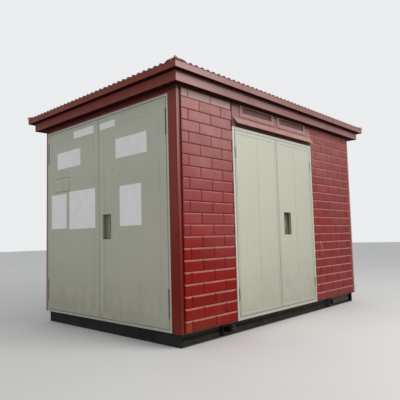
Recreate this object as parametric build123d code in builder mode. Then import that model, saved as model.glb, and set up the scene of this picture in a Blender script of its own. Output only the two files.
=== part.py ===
from build123d import *
import math
import os

os.makedirs("parts", exist_ok=True)

# Kiosk housing for a compact substation, in millimetres, +Z up
# The front, a long wall whose doors open, faces -Y, and the left end, whose tall doors open, faces -X
# The origin is on the ground under the middle of the roof

# Main sizes
body_length = 3480
body_width = 2330
wall_height = 2200
wall_depth = 60

# Base of rolled channel
base_height = 120
base_inset = 40
channel_flange = 53
channel_web = 6
channel_edge = 9
cross_beam_width = 50
cross_beam_web = 6
cross_beam_spacing = 900
sleeve_width = 120
sleeve_height = 76
sleeve_wall = 5
sleeve_from_end = 665
sleeve_setback = 4
lug_from_end = 745
lug_height = 64
lug_thickness = 12
lug_reach = 28
lug_eye_radius = 13
lug_eye_from_tip = 25
lug_corner = 18
floor_thickness = 6
floor_inset = 12

# Corner posts, folded from sheet
post_face = 58
post_strip = 36
post_groove_depth = 14
post_round = 18
post_sheet = 3
front_post_side = 118
back_post_side = 40

# Walls of embossed brick sheet
brick_recess = 6
front_door_from_end = 785

# Door frames
frame_depth = 57
end_frame_face = 22
front_frame_face = 27
frame_stop_reach = 18
frame_stop_thickness = 6
end_frame_from_top = 45
front_frame_from_top = 242
front_frame_width = 1590
end_door_centre = 1203
front_door_centre = 1576

# Door leaves
leaf_depth = 46
leaf_skin = 3
leaf_lip = 24
leaf_gap = 6
meeting_gap = 8
seam_width = 6
seam_depth = 1.5
seam_from_hinge = 380
end_seam_border = 88
end_seam_from_top = 107
bead_width = 20
bead_rise = 3.5
bead_bevel = 3
bead_border = 14
bead_from_top = 18
bead_from_bottom = 6
rib_height = 40
rib_depth = 24
rib_count = 3

# Recessed handles
cup_width = 148
cup_height = 256
cup_depth = 41
cup_sheet = 3
cup_bottom = 842
end_cup_from_meeting = 56
front_cup_from_meeting = 112
lever_width = 24
lever_length = 104
lever_thickness = 8
lever_corner = 7
lever_stem = 14
lever_stem_width = 16
lever_from_side = 49
lever_rise = 24
lever_plate_width = 38
lever_plate_height = 150
lever_plate_corner = 9
lever_plate_thickness = 2

# Lift-off hinges
hinge_axis_gap = 8
hinge_leaf_gap = 3
barrel_radius = 6
closed_barrel_faces = 12
pin_radius = 3.5
pin_play = 0.05
barrel_notch = 8
notch_play = 2
knuckle_gap = 0.5
tab_thickness = 3
tab_depth = 32
end_hinge_length = 250
end_hinge_height = 258
end_hinge_from_top = 255
front_hinge_length = 110
front_hinge_height = 255
front_hinge_from_top = 268

# Vents over the front doors
vent_from_side = 128
vent_gap = 72
vent_height = 127
vent_border = 45
vent_lower_border = 50
vent_upper_border = 12
vent_rise = 6
blade_count = 5
blade_thickness = 2
blade_play = 0.4
blade_tilt = 45

# Rain hood over the front doors
hood_over_doors = 27
hood_height = 73
hood_reach = 55
hood_sheet = 2.5
hood_flange = 14
hood_lip = 8
hood_fold = 1
hood_inset = 12

# Cornice and roof
lower_overhang = 96
lower_height = 92
upper_overhang = 156
upper_height = 55
cornice_sheet = 3
cornice_seat = 30
ceiling_thickness = 30
flange_width = 50
sheet_overhang = 8
sheet_depth = 18
sheet_thickness = 1.5
wave_pitch = 76
wave_crest = 14
roof_pitch = 8
cap_wing = 75
cap_sheet = 3
cap_roll_radius = 17
cap_play = 0.3

# Levels and lines that follow from the sizes
half_length = body_length / 2
half_width = body_width / 2
floor_top = base_height + floor_thickness
wall_top = base_height + wall_height
end_frame_top = wall_height - end_frame_from_top
front_frame_top = wall_height - front_frame_from_top
end_hinge_heights = (end_hinge_height, end_frame_top - end_hinge_from_top)
front_hinge_heights = (front_hinge_height, front_frame_top - front_hinge_from_top)
lower_cornice_top = wall_top + lower_height
upper_cornice_top = lower_cornice_top + upper_height
base_half_length = half_length - base_inset
base_half_width = half_width - base_inset
eave_half_length = half_length + upper_overhang + sheet_overhang
eave_half_width = half_width + upper_overhang + sheet_overhang
roof_slope = math.tan(math.radians(roof_pitch))
eave_level = upper_cornice_top - sheet_overhang * roof_slope

# Walls as planes seen from outside: x to the right, y up, z outwards
front_wall = Plane(origin=(0, -half_width, 0), x_dir=(1, 0, 0), z_dir=(0, -1, 0))
left_wall = Plane(origin=(-half_length, 0, 0), x_dir=(0, -1, 0), z_dir=(-1, 0, 0))


def save(part, name):
    part.label = name
    export_step(part, "parts/" + name + ".step")


def save_pair(part, about, name):
    # A piece and its mirror image, clear of each other, in one file
    save(Part() + [part, mirror(part, about=about)], name)


def axis_plane(wall, across, height):
    # Level plane at a hinge axis: x to the right along the wall, y into the wall
    return Plane(origin=wall.from_local_coords((across, height, 0)), x_dir=wall.x_dir, z_dir=(0, 0, 1))


def mitre_plane(half_x, half_y, end):
    # Upright 45 degree plane through a corner, facing the middle of the long side
    toward_side = -1 if half_y > 0 else 1
    return Plane(origin=(-end * half_x, -half_y, 0), x_dir=(0, 0, 1), z_dir=(end, toward_side, 0))


# Section of a rolled channel: x runs outwards from the web to the flange tips, y up
with BuildSketch() as channel_outline:
    with BuildLine():
        Polyline(
            (0, 0),
            (channel_flange, 0),
            (channel_flange, channel_edge),
            (channel_web, channel_edge),
            (channel_web, base_height - channel_edge),
            (channel_flange, base_height - channel_edge),
            (channel_flange, base_height),
            (0, base_height),
            close=True,
        )
    make_face()

sleeve_across = half_length - sleeve_from_end
sleeve_mid = base_height / 2
sleeve_places = [(-sleeve_across, sleeve_mid), (sleeve_across, sleeve_mid)]
web_inner_y = base_half_width - channel_flange

# Long channels, open outwards and cut through for the lifting sleeves
end_web_inner_x = base_half_length - channel_web
with BuildPart() as base_channel_front:
    front_start = (-end_web_inner_x, -web_inner_y, 0)
    with BuildSketch(Plane(origin=front_start, x_dir=(0, -1, 0), z_dir=(-1, 0, 0))):
        add(channel_outline.sketch)
    extrude(amount=-2 * end_web_inner_x)
    with BuildSketch(Plane.XZ.offset(half_width)):
        with Locations(*sleeve_places):
            Rectangle(sleeve_width, sleeve_height)
    extrude(amount=web_inner_y - half_width, mode=Mode.SUBTRACT)
save_pair(base_channel_front.part, Plane.XZ, "base_long_channels")

# End channels, with the web outside and the flanges coped to the long channels
with BuildPart() as base_channel_left:
    left_start = (-base_half_length, -web_inner_y, 0)
    with BuildSketch(Plane(origin=left_start, x_dir=(1, 0, 0), z_dir=(0, -1, 0))):
        add(channel_outline.sketch)
    extrude(amount=-2 * web_inner_y)
    with BuildSketch(Plane.YZ.offset(-base_half_length)):
        with Locations((0, base_height / 2)):
            Rectangle(2 * base_half_width, base_height)
    extrude(amount=channel_web)
save_pair(base_channel_left.part, Plane.YZ, "base_end_channels")

# Rectangular tubes through the base, open at both ends for lifting bars
sleeve_half_length = base_half_width - sleeve_setback
with BuildPart() as lifting_sleeves:
    with BuildSketch(Plane.XZ.offset(sleeve_half_length)):
        with Locations(*sleeve_places):
            Rectangle(sleeve_width, sleeve_height)
            Rectangle(sleeve_width - 2 * sleeve_wall, sleeve_height - 2 * sleeve_wall, mode=Mode.SUBTRACT)
    extrude(amount=-2 * sleeve_half_length)
save(lifting_sleeves.part, "lifting_sleeves")

# Two I-beams under the floor
with BuildPart() as base_cross_beams:
    with BuildSketch(Plane.XZ.offset(web_inner_y)):
        with GridLocations(cross_beam_spacing, 0, 2, 1):
            with Locations((0, sleeve_mid)):
                Rectangle(cross_beam_web, base_height)
            with Locations((0, channel_edge / 2), (0, base_height - channel_edge / 2)):
                Rectangle(cross_beam_width, channel_edge)
    extrude(amount=-2 * web_inner_y)
save(base_cross_beams.part, "base_cross_beams")

# Lifting lugs, welded upright to the webs and reaching past the flanges
lug_web_y = base_half_width - channel_flange + channel_web
lug_tip_y = base_half_width + lug_reach
with BuildPart() as front_lugs:
    for lug_x in (-half_length + lug_from_end, half_length - lug_from_end):
        with BuildSketch(Plane.YZ.offset(lug_x)):
            with Locations((-(lug_web_y + lug_tip_y) / 2, sleeve_mid)):
                Rectangle(lug_tip_y - lug_web_y, lug_height)
            with Locations((-lug_tip_y + lug_eye_from_tip, sleeve_mid)):
                Circle(lug_eye_radius, mode=Mode.SUBTRACT)
        extrude(amount=lug_thickness / 2, both=True)
    chamfer(front_lugs.edges().filter_by(Axis.X).group_by(Axis.Y)[0], lug_corner)
save_pair(front_lugs.part, Plane.XZ, "lifting_lugs")

with BuildPart() as floor_plate:
    with BuildSketch(Plane.XY.offset(base_height)):
        Rectangle(body_length - 2 * floor_inset, body_width - 2 * floor_inset)
    extrude(amount=floor_thickness)
save(floor_plate.part, "floor_plate")


def corner_post(side_width, toward_back):
    # Folded post at the left end, with a groove down its long-wall face
    with BuildPart() as post:
        with BuildSketch(Plane.XY.offset(floor_top)) as section:
            with BuildLine():
                Polyline(
                    (-half_length, -half_width),
                    (-half_length + post_strip, -half_width),
                    (-half_length + post_strip, -half_width + post_groove_depth),
                    (-half_length + post_face, -half_width + post_groove_depth),
                    (-half_length + post_face, -half_width + side_width),
                    (-half_length, -half_width + side_width),
                    close=True,
                )
            make_face()
            outer_corner = section.vertices().sort_by(Axis.X).group_by(Axis.Y)[0].sort_by(Axis.X)[0]
            fillet(outer_corner, post_round)
            offset(amount=-post_sheet, mode=Mode.SUBTRACT)
        extrude(amount=wall_top - floor_top)
    if toward_back:
        return mirror(post.part, about=Plane.XZ)
    return post.part


save_pair(corner_post(front_post_side, False), Plane.YZ, "front_corner_posts")
save_pair(corner_post(back_post_side, True), Plane.YZ, "back_corner_posts")

# Long walls beside the doors, faced at the bottom of the brick joints
front_door_left = -half_length + front_door_from_end
front_door_right = front_door_left + front_frame_width
wall_spans = {
    "left": (-half_length + post_face, front_door_left),
    "right": (front_door_right, half_length - post_face),
}
for side, (wall_start, wall_end) in wall_spans.items():
    with BuildPart() as brick_wall:
        with BuildSketch(Plane.XY.offset(floor_top)):
            with Locations(((wall_start + wall_end) / 2, -half_width + (brick_recess + wall_depth) / 2)):
                Rectangle(wall_end - wall_start, wall_depth - brick_recess)
        extrude(amount=wall_top - floor_top)
    save(brick_wall.part, "front_brick_wall_" + side)
    save(mirror(brick_wall.part, about=Plane.XZ), "back_brick_wall_" + side)


def door_frame(wall, left, right, bottom, top, face):
    # Rebated frame with a stop behind the leaves
    width = right - left
    height = top - bottom
    middle = ((left + right) / 2, (bottom + top) / 2)
    with BuildPart() as frame:
        with BuildSketch(wall.offset(-frame_depth)):
            with Locations(middle):
                Rectangle(width, height)
                Rectangle(width - 2 * face, height - 2 * face, mode=Mode.SUBTRACT)
        extrude(amount=frame_depth)
        stop_edge = face + frame_stop_reach
        with BuildSketch(wall.offset(-frame_depth)):
            with Locations(middle):
                Rectangle(width - 2 * face, height - 2 * face)
                Rectangle(width - 2 * stop_edge, height - 2 * stop_edge, mode=Mode.SUBTRACT)
        extrude(amount=frame_stop_thickness)
    return frame.part


def door_leaf(wall, hinge_edge, meeting_edge, bottom, top, face_lines, hinges, cup):
    # Pressed sheet leaf: folded edges and inner ribs, notched round the hinges
    left = min(hinge_edge, meeting_edge)
    right = max(hinge_edge, meeting_edge)
    width = right - left
    height = top - bottom
    middle = ((left + right) / 2, (bottom + top) / 2)
    hinge_side = 1 if hinge_edge == right else -1
    hinge_heights, hinge_length = hinges
    with BuildPart() as leaf:
        with BuildSketch(wall.offset(-leaf_depth)):
            with Locations(middle):
                Rectangle(width, height)
        extrude(amount=leaf_depth)
        with BuildSketch(wall.offset(-leaf_depth + leaf_skin)):
            with Locations(middle):
                Rectangle(width - 2 * leaf_skin, height - 2 * leaf_skin)
        extrude(amount=leaf_depth - 2 * leaf_skin, mode=Mode.SUBTRACT)
        with BuildSketch(wall.offset(-leaf_depth)):
            with Locations(middle):
                Rectangle(width - 2 * leaf_lip, height - 2 * leaf_lip)
        extrude(amount=leaf_skin, mode=Mode.SUBTRACT)
        with BuildSketch(wall.offset(-leaf_skin)):
            with Locations(middle):
                with GridLocations(0, height / (rib_count + 1), 1, rib_count):
                    Rectangle(width - 2 * leaf_skin, rib_height)
                    Rectangle(width, rib_height - 2 * leaf_skin, mode=Mode.SUBTRACT)
        extrude(amount=-rib_depth)
        with BuildSketch(wall.offset(-leaf_skin - rib_depth)):
            with Locations(middle):
                with GridLocations(0, height / (rib_count + 1), 1, rib_count):
                    Rectangle(width - 2 * leaf_skin, rib_height)
        extrude(amount=-leaf_skin)
        if face_lines == "bead":
            # Raised bead near the edges and one upright seam
            bead_outer = width - 2 * bead_border
            bead_inner = bead_outer - 2 * bead_width
            bead_height = height - bead_from_top - bead_from_bottom
            bead_middle = (middle[0], bottom + bead_from_bottom + bead_height / 2)
            seam = hinge_edge - hinge_side * seam_from_hinge
            with BuildSketch(wall):
                with Locations(bead_middle):
                    Rectangle(bead_outer, bead_height)
                    Rectangle(bead_inner, bead_height - 2 * bead_width, mode=Mode.SUBTRACT)
            extrude(amount=bead_rise)
            bead_top = leaf.faces().sort_by(Axis(wall.origin, wall.z_dir))[-1]
            chamfer(bead_top.edges(), bead_bevel)
            with BuildSketch(wall):
                with Locations((seam, bead_middle[1])):
                    Rectangle(seam_width, bead_height - 2 * bead_width)
            extrude(amount=-seam_depth, mode=Mode.SUBTRACT)
        else:
            # Pressed line round the middle of the leaf
            line_width = width - 2 * end_seam_border
            line_height = height - end_seam_border - end_seam_from_top
            with BuildSketch(wall):
                with Locations((middle[0], bottom + end_seam_border + line_height / 2)):
                    Rectangle(line_width, line_height)
                    Rectangle(line_width - 2 * seam_width, line_height - 2 * seam_width, mode=Mode.SUBTRACT)
            extrude(amount=-seam_depth, mode=Mode.SUBTRACT)
        for hinge_height in hinge_heights:
            start = base_height + hinge_height - hinge_length / 2 - notch_play
            with BuildSketch(axis_plane(wall, hinge_edge + hinge_side * hinge_leaf_gap, start)):
                Rectangle(2 * barrel_notch, 2 * barrel_notch)
            extrude(amount=hinge_length + 2 * notch_play, mode=Mode.SUBTRACT)
        if cup:
            cup_middle = (cup, base_height + cup_bottom + cup_height / 2)
            with BuildSketch(wall.offset(-cup_depth - cup_sheet)):
                with Locations(cup_middle):
                    Rectangle(cup_width + 2 * cup_sheet, cup_height + 2 * cup_sheet)
            extrude(amount=cup_depth + cup_sheet)
            with BuildSketch(wall):
                with Locations(cup_middle):
                    Rectangle(cup_width, cup_height)
            extrude(amount=-cup_depth, mode=Mode.SUBTRACT)
    return leaf.part


def hinge_half(wall, hinge_side, axis_at, hinges, moving):
    # Lift-off hinge: the lower knuckle carries the pin, the upper one drops over it
    hinge_heights, hinge_length = hinges
    knuckle = (hinge_length - knuckle_gap) / 2
    if moving:
        tab_middle = -hinge_side * (hinge_leaf_gap - tab_thickness / 2)
    else:
        tab_middle = hinge_side * (hinge_axis_gap - tab_thickness / 2)
    with BuildPart() as half:
        for hinge_height in hinge_heights:
            start = base_height + hinge_height - hinge_length / 2
            if moving:
                start = start + knuckle + knuckle_gap
            with BuildSketch(axis_plane(wall, axis_at, start)):
                Circle(barrel_radius)
                with Locations((tab_middle, tab_depth / 2)):
                    Rectangle(tab_thickness, tab_depth)
                if moving:
                    Circle(pin_radius + pin_play, mode=Mode.SUBTRACT)
            extrude(amount=knuckle)
            if not moving:
                with BuildSketch(axis_plane(wall, axis_at, start + knuckle)):
                    Circle(pin_radius)
                extrude(amount=knuckle + knuckle_gap)
    return half.part


def closed_hinge(wall, hinge_side, axis_at, hinges):
    # Hinge of a door that stays shut, with both knuckles in one barrel of flat faces
    hinge_heights, hinge_length = hinges
    frame_tab = hinge_side * (hinge_axis_gap - tab_thickness / 2)
    leaf_tab = -hinge_side * (hinge_leaf_gap - tab_thickness / 2)
    with BuildPart() as hinge:
        for hinge_height in hinge_heights:
            start = base_height + hinge_height - hinge_length / 2
            with BuildSketch(axis_plane(wall, axis_at, start)):
                RegularPolygon(barrel_radius, closed_barrel_faces)
            extrude(amount=hinge_length)
            for tab_middle, tab_start in ((frame_tab, start), (leaf_tab, start + hinge_length / 2)):
                with BuildSketch(axis_plane(wall, axis_at, tab_start)):
                    with Locations((tab_middle, tab_depth / 2)):
                        Rectangle(tab_thickness, tab_depth)
                extrude(amount=hinge_length / 2)
    return hinge.part


def lock_lever(wall, across):
    # Upright lever on a square stem, on its plate at the back of the cup
    middle = (across, base_height + cup_bottom + cup_height / 2)
    with BuildPart() as lever:
        with BuildSketch(wall.offset(-cup_depth)):
            with Locations(middle):
                plate = Rectangle(lever_plate_width, lever_plate_height)
            chamfer(plate.vertices(), lever_plate_corner)
        extrude(amount=lever_plate_thickness)
        with BuildSketch(wall.offset(-cup_depth)):
            with Locations((middle[0], middle[1] + lever_rise)):
                Rectangle(lever_stem_width, lever_stem_width)
        extrude(amount=lever_stem)
        with BuildSketch(wall.offset(-cup_depth + lever_stem)):
            with Locations(middle):
                bar = Rectangle(lever_width, lever_length)
            chamfer(bar.vertices(), lever_corner)
        extrude(amount=lever_thickness)
    return lever.part


def doorway(wall, left, right, frame_height, face, centre, face_lines, hinges, cup_offset, lever_offset):
    # Frame, two leaves, hinges and lever of one doorway, seen from outside
    bottom = floor_top
    top = base_height + frame_height
    leaf_bottom = bottom + face + leaf_gap
    leaf_top = top - face - leaf_gap
    left_axis = left + face + hinge_axis_gap
    right_axis = right - face - hinge_axis_gap
    left_edge = left_axis + hinge_leaf_gap
    right_edge = right_axis - hinge_leaf_gap
    meeting_left = centre - meeting_gap / 2
    meeting_right = centre + meeting_gap / 2
    cup = meeting_right + cup_offset + cup_width / 2
    left_leaf = door_leaf(wall, left_edge, meeting_left, leaf_bottom, leaf_top, face_lines, hinges, None)
    right_leaf = door_leaf(wall, right_edge, meeting_right, leaf_bottom, leaf_top, face_lines, hinges, cup)
    fixed_left = hinge_half(wall, -1, left_axis, hinges, False)
    fixed_right = hinge_half(wall, 1, right_axis, hinges, False)
    closed_left = closed_hinge(wall, -1, left_axis, hinges)
    closed_right = closed_hinge(wall, 1, right_axis, hinges)
    return {
        "door_frame": door_frame(wall, left, right, bottom, top, face),
        "left_leaf": left_leaf,
        "right_leaf": right_leaf,
        "hinge_pins": Part() + [fixed_left, fixed_right],
        "left_knuckles": hinge_half(wall, -1, left_axis, hinges, True),
        "right_knuckles": hinge_half(wall, 1, right_axis, hinges, True),
        "closed_hinges": Part() + [closed_left, closed_right],
        "lock_lever": lock_lever(wall, cup + lever_offset),
    }


# The levers stand near the cup's side towards the front left corner post
lever_from_middle = cup_width / 2 - lever_from_side
front_pieces = doorway(
    front_wall,
    front_door_left,
    front_door_right,
    front_frame_top,
    front_frame_face,
    -half_length + front_door_centre,
    "bead",
    (front_hinge_heights, front_hinge_length),
    front_cup_from_meeting,
    -lever_from_middle,
)
end_pieces = doorway(
    left_wall,
    -half_width + back_post_side,
    half_width - front_post_side,
    end_frame_top,
    end_frame_face,
    half_width - end_door_centre,
    "pressed line",
    (end_hinge_heights, end_hinge_length),
    end_cup_from_meeting,
    lever_from_middle,
)
for piece_name in front_pieces:
    if piece_name != "closed_hinges":
        save(front_pieces[piece_name], "front_" + piece_name)
        save(end_pieces[piece_name], "left_end_" + piece_name)

# The back and the right end repeat the doors that are seen
save(mirror(front_pieces["door_frame"], about=Plane.XZ), "back_door_frame")
save(mirror(end_pieces["door_frame"], about=Plane.YZ), "right_end_door_frame")
back_leaves = [mirror(front_pieces[name], about=Plane.XZ) for name in ("left_leaf", "right_leaf")]
right_end_leaves = [mirror(end_pieces[name], about=Plane.YZ) for name in ("left_leaf", "right_leaf")]
save(Part() + back_leaves, "back_leaves")
save(Part() + right_end_leaves, "right_end_leaves")
back_hinges = mirror(front_pieces["closed_hinges"], about=Plane.XZ)
right_end_hinges = mirror(end_pieces["closed_hinges"], about=Plane.YZ)
save(Part() + [back_hinges, right_end_hinges], "fixed_door_hinges")
back_lever = mirror(front_pieces["lock_lever"], about=Plane.XZ)
right_end_lever = mirror(end_pieces["lock_lever"], about=Plane.YZ)
save(Part() + [back_lever, right_end_lever], "fixed_lock_levers")

# Panel over the front doors, cut through for two louvred vents
over_door_bottom = base_height + front_frame_top
over_door_height = wall_top - over_door_bottom
vent_middle = (front_door_left + front_door_right) / 2
over_door_middle = (vent_middle, over_door_bottom + over_door_height / 2)
vent_width = (front_frame_width - 2 * vent_from_side - vent_gap) / 2
vent_step = (vent_width + vent_gap) / 2
vent_opening_width = vent_width - 2 * vent_border
vent_opening_bottom = wall_top - vent_height + vent_lower_border
vent_opening_top = wall_top - vent_upper_border
vent_opening_height = vent_opening_top - vent_opening_bottom
vent_opening_middle = (vent_opening_bottom + vent_opening_top) / 2
vent_centres = (vent_middle - vent_step, vent_middle + vent_step)

vent_frame_middle = wall_top - vent_height / 2
with BuildPart() as front_vent_panel:
    with BuildSketch(front_wall.offset(-wall_depth)):
        with Locations(over_door_middle):
            Rectangle(front_frame_width, over_door_height)
        with Locations(*[(centre, vent_opening_middle) for centre in vent_centres]):
            Rectangle(vent_opening_width, vent_opening_height, mode=Mode.SUBTRACT)
    extrude(amount=wall_depth)
    with BuildSketch(front_wall):
        with Locations(*[(centre, vent_frame_middle) for centre in vent_centres]):
            Rectangle(vent_width, vent_height)
        with Locations(*[(centre, vent_opening_middle) for centre in vent_centres]):
            Rectangle(vent_opening_width, vent_opening_height, mode=Mode.SUBTRACT)
    extrude(amount=vent_rise)
    raised_frames = front_vent_panel.faces().group_by(Axis.Y)[0]
    chamfer([edge for frame in raised_frames for edge in frame.outer_wire().edges()], vent_rise / 2)
save(front_vent_panel.part, "front_vent_panel")
save(mirror(front_vent_panel.part, about=Plane.XZ), "back_vent_panel")

# Louvre blades, tilted so that their outer edges hang down
blade_pitch = vent_opening_height / blade_count
blade_angle = math.radians(blade_tilt)
blade_rise = blade_pitch - blade_play - blade_thickness * math.cos(blade_angle)
blade_reach = blade_rise / math.sin(blade_angle)
with BuildPart() as front_louvre_blades:
    for centre in vent_centres:
        with BuildSketch(Plane.YZ.offset(centre)):
            for blade in range(blade_count):
                blade_height = vent_opening_bottom + (blade + 0.5) * blade_pitch
                with Locations((-half_width + blade_reach / 2, blade_height)):
                    Rectangle(blade_reach, blade_thickness, rotation=blade_tilt)
        extrude(amount=vent_opening_width / 2, both=True)
save_pair(front_louvre_blades.part, Plane.XZ, "louvre_blades")

# Bent rain hood, open at both ends
hood_start = front_door_left + hood_inset
hood_bottom = over_door_bottom + hood_over_doors
hood_top = hood_bottom + hood_height
with BuildPart() as front_rain_hood:
    with BuildSketch(Plane.YZ.offset(hood_start)) as hood_section:
        with BuildLine() as hood_line:
            Polyline(
                (-half_width, hood_top + hood_flange),
                (-half_width - hood_sheet, hood_top + hood_flange),
                (-half_width - hood_sheet, hood_top),
                (-half_width - hood_reach, hood_bottom + hood_lip),
                (-half_width - hood_reach, hood_bottom),
                (-half_width - hood_reach + hood_sheet, hood_bottom),
                (-half_width - hood_reach + hood_sheet, hood_bottom + hood_lip - hood_fold),
                (-half_width, hood_top - hood_sheet),
                close=True,
            )
        make_face()
    extrude(amount=front_frame_width - 2 * hood_inset)
save_pair(front_rain_hood.part, Plane.XZ, "rain_hoods")

# Rails over the end doors
rail_bottom = base_height + end_frame_top
rail_start = -half_width + front_post_side
rail_end = half_width - back_post_side
with BuildPart() as left_end_top_rail:
    with BuildSketch(Plane.XY.offset(rail_bottom)):
        with Locations((-half_length + frame_depth / 2, (rail_start + rail_end) / 2)):
            Rectangle(frame_depth, rail_end - rail_start)
    extrude(amount=wall_top - rail_bottom)
save_pair(left_end_top_rail.part, Plane.YZ, "end_top_rails")

# Insulated ceiling, resting on the inner half of the wall tops
with BuildPart() as ceiling_panel:
    with BuildSketch(Plane.XY.offset(wall_top)):
        Rectangle(body_length - 2 * cornice_seat, body_width - 2 * cornice_seat)
    extrude(amount=ceiling_thickness)
save(ceiling_panel.part, "ceiling_panel")


def folded_cornice(level, height, overhang, seat):
    # Sheet folded to a channel that opens inwards, mitred round the four sides
    with BuildPart() as cornice:
        with BuildLine(Plane.XY.offset(level)) as walls:
            Polyline(
                (0, -half_width),
                (half_length, -half_width),
                (half_length, half_width),
                (-half_length, half_width),
                (-half_length, -half_width),
                (0, -half_width),
            )
        with BuildSketch(Plane(origin=(0, -half_width, level), x_dir=(0, -1, 0), z_dir=(-1, 0, 0))):
            with BuildLine():
                Polyline(
                    (seat, 0),
                    (overhang, 0),
                    (overhang, height),
                    (overhang - flange_width, height),
                    (overhang - flange_width, height - cornice_sheet),
                    (overhang - cornice_sheet, height - cornice_sheet),
                    (overhang - cornice_sheet, cornice_sheet),
                    (seat, cornice_sheet),
                    close=True,
                )
            make_face()
        sweep(path=walls.wires()[0], transition=Transition.RIGHT)
    return cornice.part


save(folded_cornice(wall_top, lower_height, lower_overhang, -cornice_seat), "lower_cornice")
upper_seat = lower_overhang - flange_width
save(folded_cornice(lower_cornice_top, upper_height, upper_overhang, upper_seat), "upper_cornice")

# Hip roof of ribbed sheet, one slope for each side, mitred at the hips
ridge_rise = eave_half_width * roof_slope
ridge_half_length = eave_half_length - eave_half_width


def ribbed_slope(eave, half_eave):
    # Slope up from an eave, seen from outside: level below, with ribs from the eave to the ridge
    wave_count = round(2 * half_eave / wave_pitch)
    pitch = 2 * half_eave / wave_count
    flank = pitch / 2 - wave_crest
    ribs = []
    for wave in range(wave_count):
        foot = wave_crest / 2 - half_eave + wave * pitch
        ribs.append((foot, sheet_thickness))
        ribs.append((foot + flank, sheet_depth))
        ribs.append((foot + flank + wave_crest, sheet_depth))
        ribs.append((foot + 2 * flank + wave_crest, sheet_thickness))
    uphill = Vector(0, 0, roof_slope) - eave.z_dir
    with BuildPart() as slope:
        with BuildSketch(eave):
            with BuildLine():
                Polyline(
                    (-half_eave, 0),
                    (-half_eave, sheet_thickness),
                    *ribs,
                    (half_eave, sheet_thickness),
                    (half_eave, 0),
                    close=True,
                )
            make_face()
        extrude(amount=eave_half_width * uphill.length, dir=uphill)
    return slope.part


front_eave = Plane(origin=(0, -eave_half_width, eave_level), x_dir=(1, 0, 0), z_dir=(0, -1, 0))
with BuildPart() as roof_front:
    add(ribbed_slope(front_eave, eave_half_length))
    split(bisect_by=mitre_plane(eave_half_length, eave_half_width, 1), keep=Keep.TOP)
    split(bisect_by=mitre_plane(eave_half_length, eave_half_width, -1), keep=Keep.TOP)
save(roof_front.part, "roof_front")
save(mirror(roof_front.part, about=Plane.XZ), "roof_back")

left_eave = Plane(origin=(-eave_half_length, 0, eave_level), x_dir=(0, -1, 0), z_dir=(-1, 0, 0))
with BuildPart() as roof_left:
    add(ribbed_slope(left_eave, eave_half_width))
    split(bisect_by=mitre_plane(eave_half_length, eave_half_width, 1), keep=Keep.BOTTOM)
    split(bisect_by=mitre_plane(eave_half_length, -eave_half_width, 1), keep=Keep.BOTTOM)
save(roof_left.part, "roof_left")
save(mirror(roof_left.part, about=Plane.YZ), "roof_right")


def cap_section(side_slope):
    # Two wings that follow the slopes, with a half-round roll between them
    drop = cap_wing * side_slope
    with BuildSketch() as outline:
        with BuildLine():
            Polyline(
                (-cap_wing, -drop),
                (0, 0),
                (cap_wing, -drop),
                (cap_wing, -drop + cap_sheet),
                (0, cap_sheet),
                (-cap_wing, -drop + cap_sheet),
                close=True,
            )
        make_face()
        with BuildSketch(mode=Mode.PRIVATE) as roll:
            Circle(cap_roll_radius)
            with Locations((0, -cap_roll_radius + cap_sheet / 2)):
                Rectangle(2 * cap_roll_radius, 2 * cap_roll_radius, mode=Mode.SUBTRACT)
        add(roll.sketch)
    return outline.sketch


# Ridge and hip caps in one piece
cap_level = eave_level + sheet_depth + cap_play
hip_side_slope = roof_slope / math.sqrt(2)
ridge_level = cap_level + ridge_rise
with BuildPart() as roof_caps:
    with BuildSketch(Plane(origin=(-ridge_half_length, 0, ridge_level), x_dir=(0, -1, 0), z_dir=(-1, 0, 0))):
        add(cap_section(roof_slope))
    extrude(amount=-2 * ridge_half_length)
    for end in (-1, 1):
        for side in (-1, 1):
            hip_foot = Vector(end * eave_half_length, side * eave_half_width, cap_level)
            hip_head = Vector(end * ridge_half_length, 0, ridge_level)
            hip = hip_head - hip_foot
            with BuildSketch(Plane(origin=hip_foot, x_dir=Vector(0, 0, 1).cross(hip), z_dir=hip)):
                add(cap_section(hip_side_slope))
            extrude(amount=hip.length)
    with BuildSketch(Plane.XY.offset(eave_level)):
        Rectangle(2 * eave_half_length, 2 * eave_half_width)
    extrude(amount=2 * ridge_rise, mode=Mode.INTERSECT)
save(roof_caps.part, "roof_caps")
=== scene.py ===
import math
import bpy
from mathutils import Matrix, Vector


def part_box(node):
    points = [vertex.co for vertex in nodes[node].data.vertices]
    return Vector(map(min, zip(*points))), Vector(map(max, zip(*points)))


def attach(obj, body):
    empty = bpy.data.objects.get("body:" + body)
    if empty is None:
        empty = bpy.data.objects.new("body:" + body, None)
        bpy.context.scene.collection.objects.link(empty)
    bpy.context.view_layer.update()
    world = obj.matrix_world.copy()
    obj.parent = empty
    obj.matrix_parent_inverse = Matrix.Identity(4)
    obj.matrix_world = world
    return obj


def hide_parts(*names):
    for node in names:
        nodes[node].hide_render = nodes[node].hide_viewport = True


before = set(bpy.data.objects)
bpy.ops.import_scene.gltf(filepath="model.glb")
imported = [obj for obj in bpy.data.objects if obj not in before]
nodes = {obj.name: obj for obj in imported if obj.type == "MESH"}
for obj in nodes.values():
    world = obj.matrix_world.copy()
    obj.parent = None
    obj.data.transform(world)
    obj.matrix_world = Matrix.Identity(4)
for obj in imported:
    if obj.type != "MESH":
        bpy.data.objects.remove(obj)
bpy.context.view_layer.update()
print("kiosk: CAD frame loaded,", len(nodes), "nodes")

# the housing in metres, as the CAD has it
kiosk = {
    "halfLength": 1.74, "halfWidth": 1.165, "wallBottom": 0.12,
    "brickFloor": 0.006,       # joints lie this far behind the brick faces
    "innerFrom": 0.045,        # paint changes to the inner one this far behind the outer faces
    "onWall": -0.004,          # what lies further out than this isn't the wall itself
}


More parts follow.
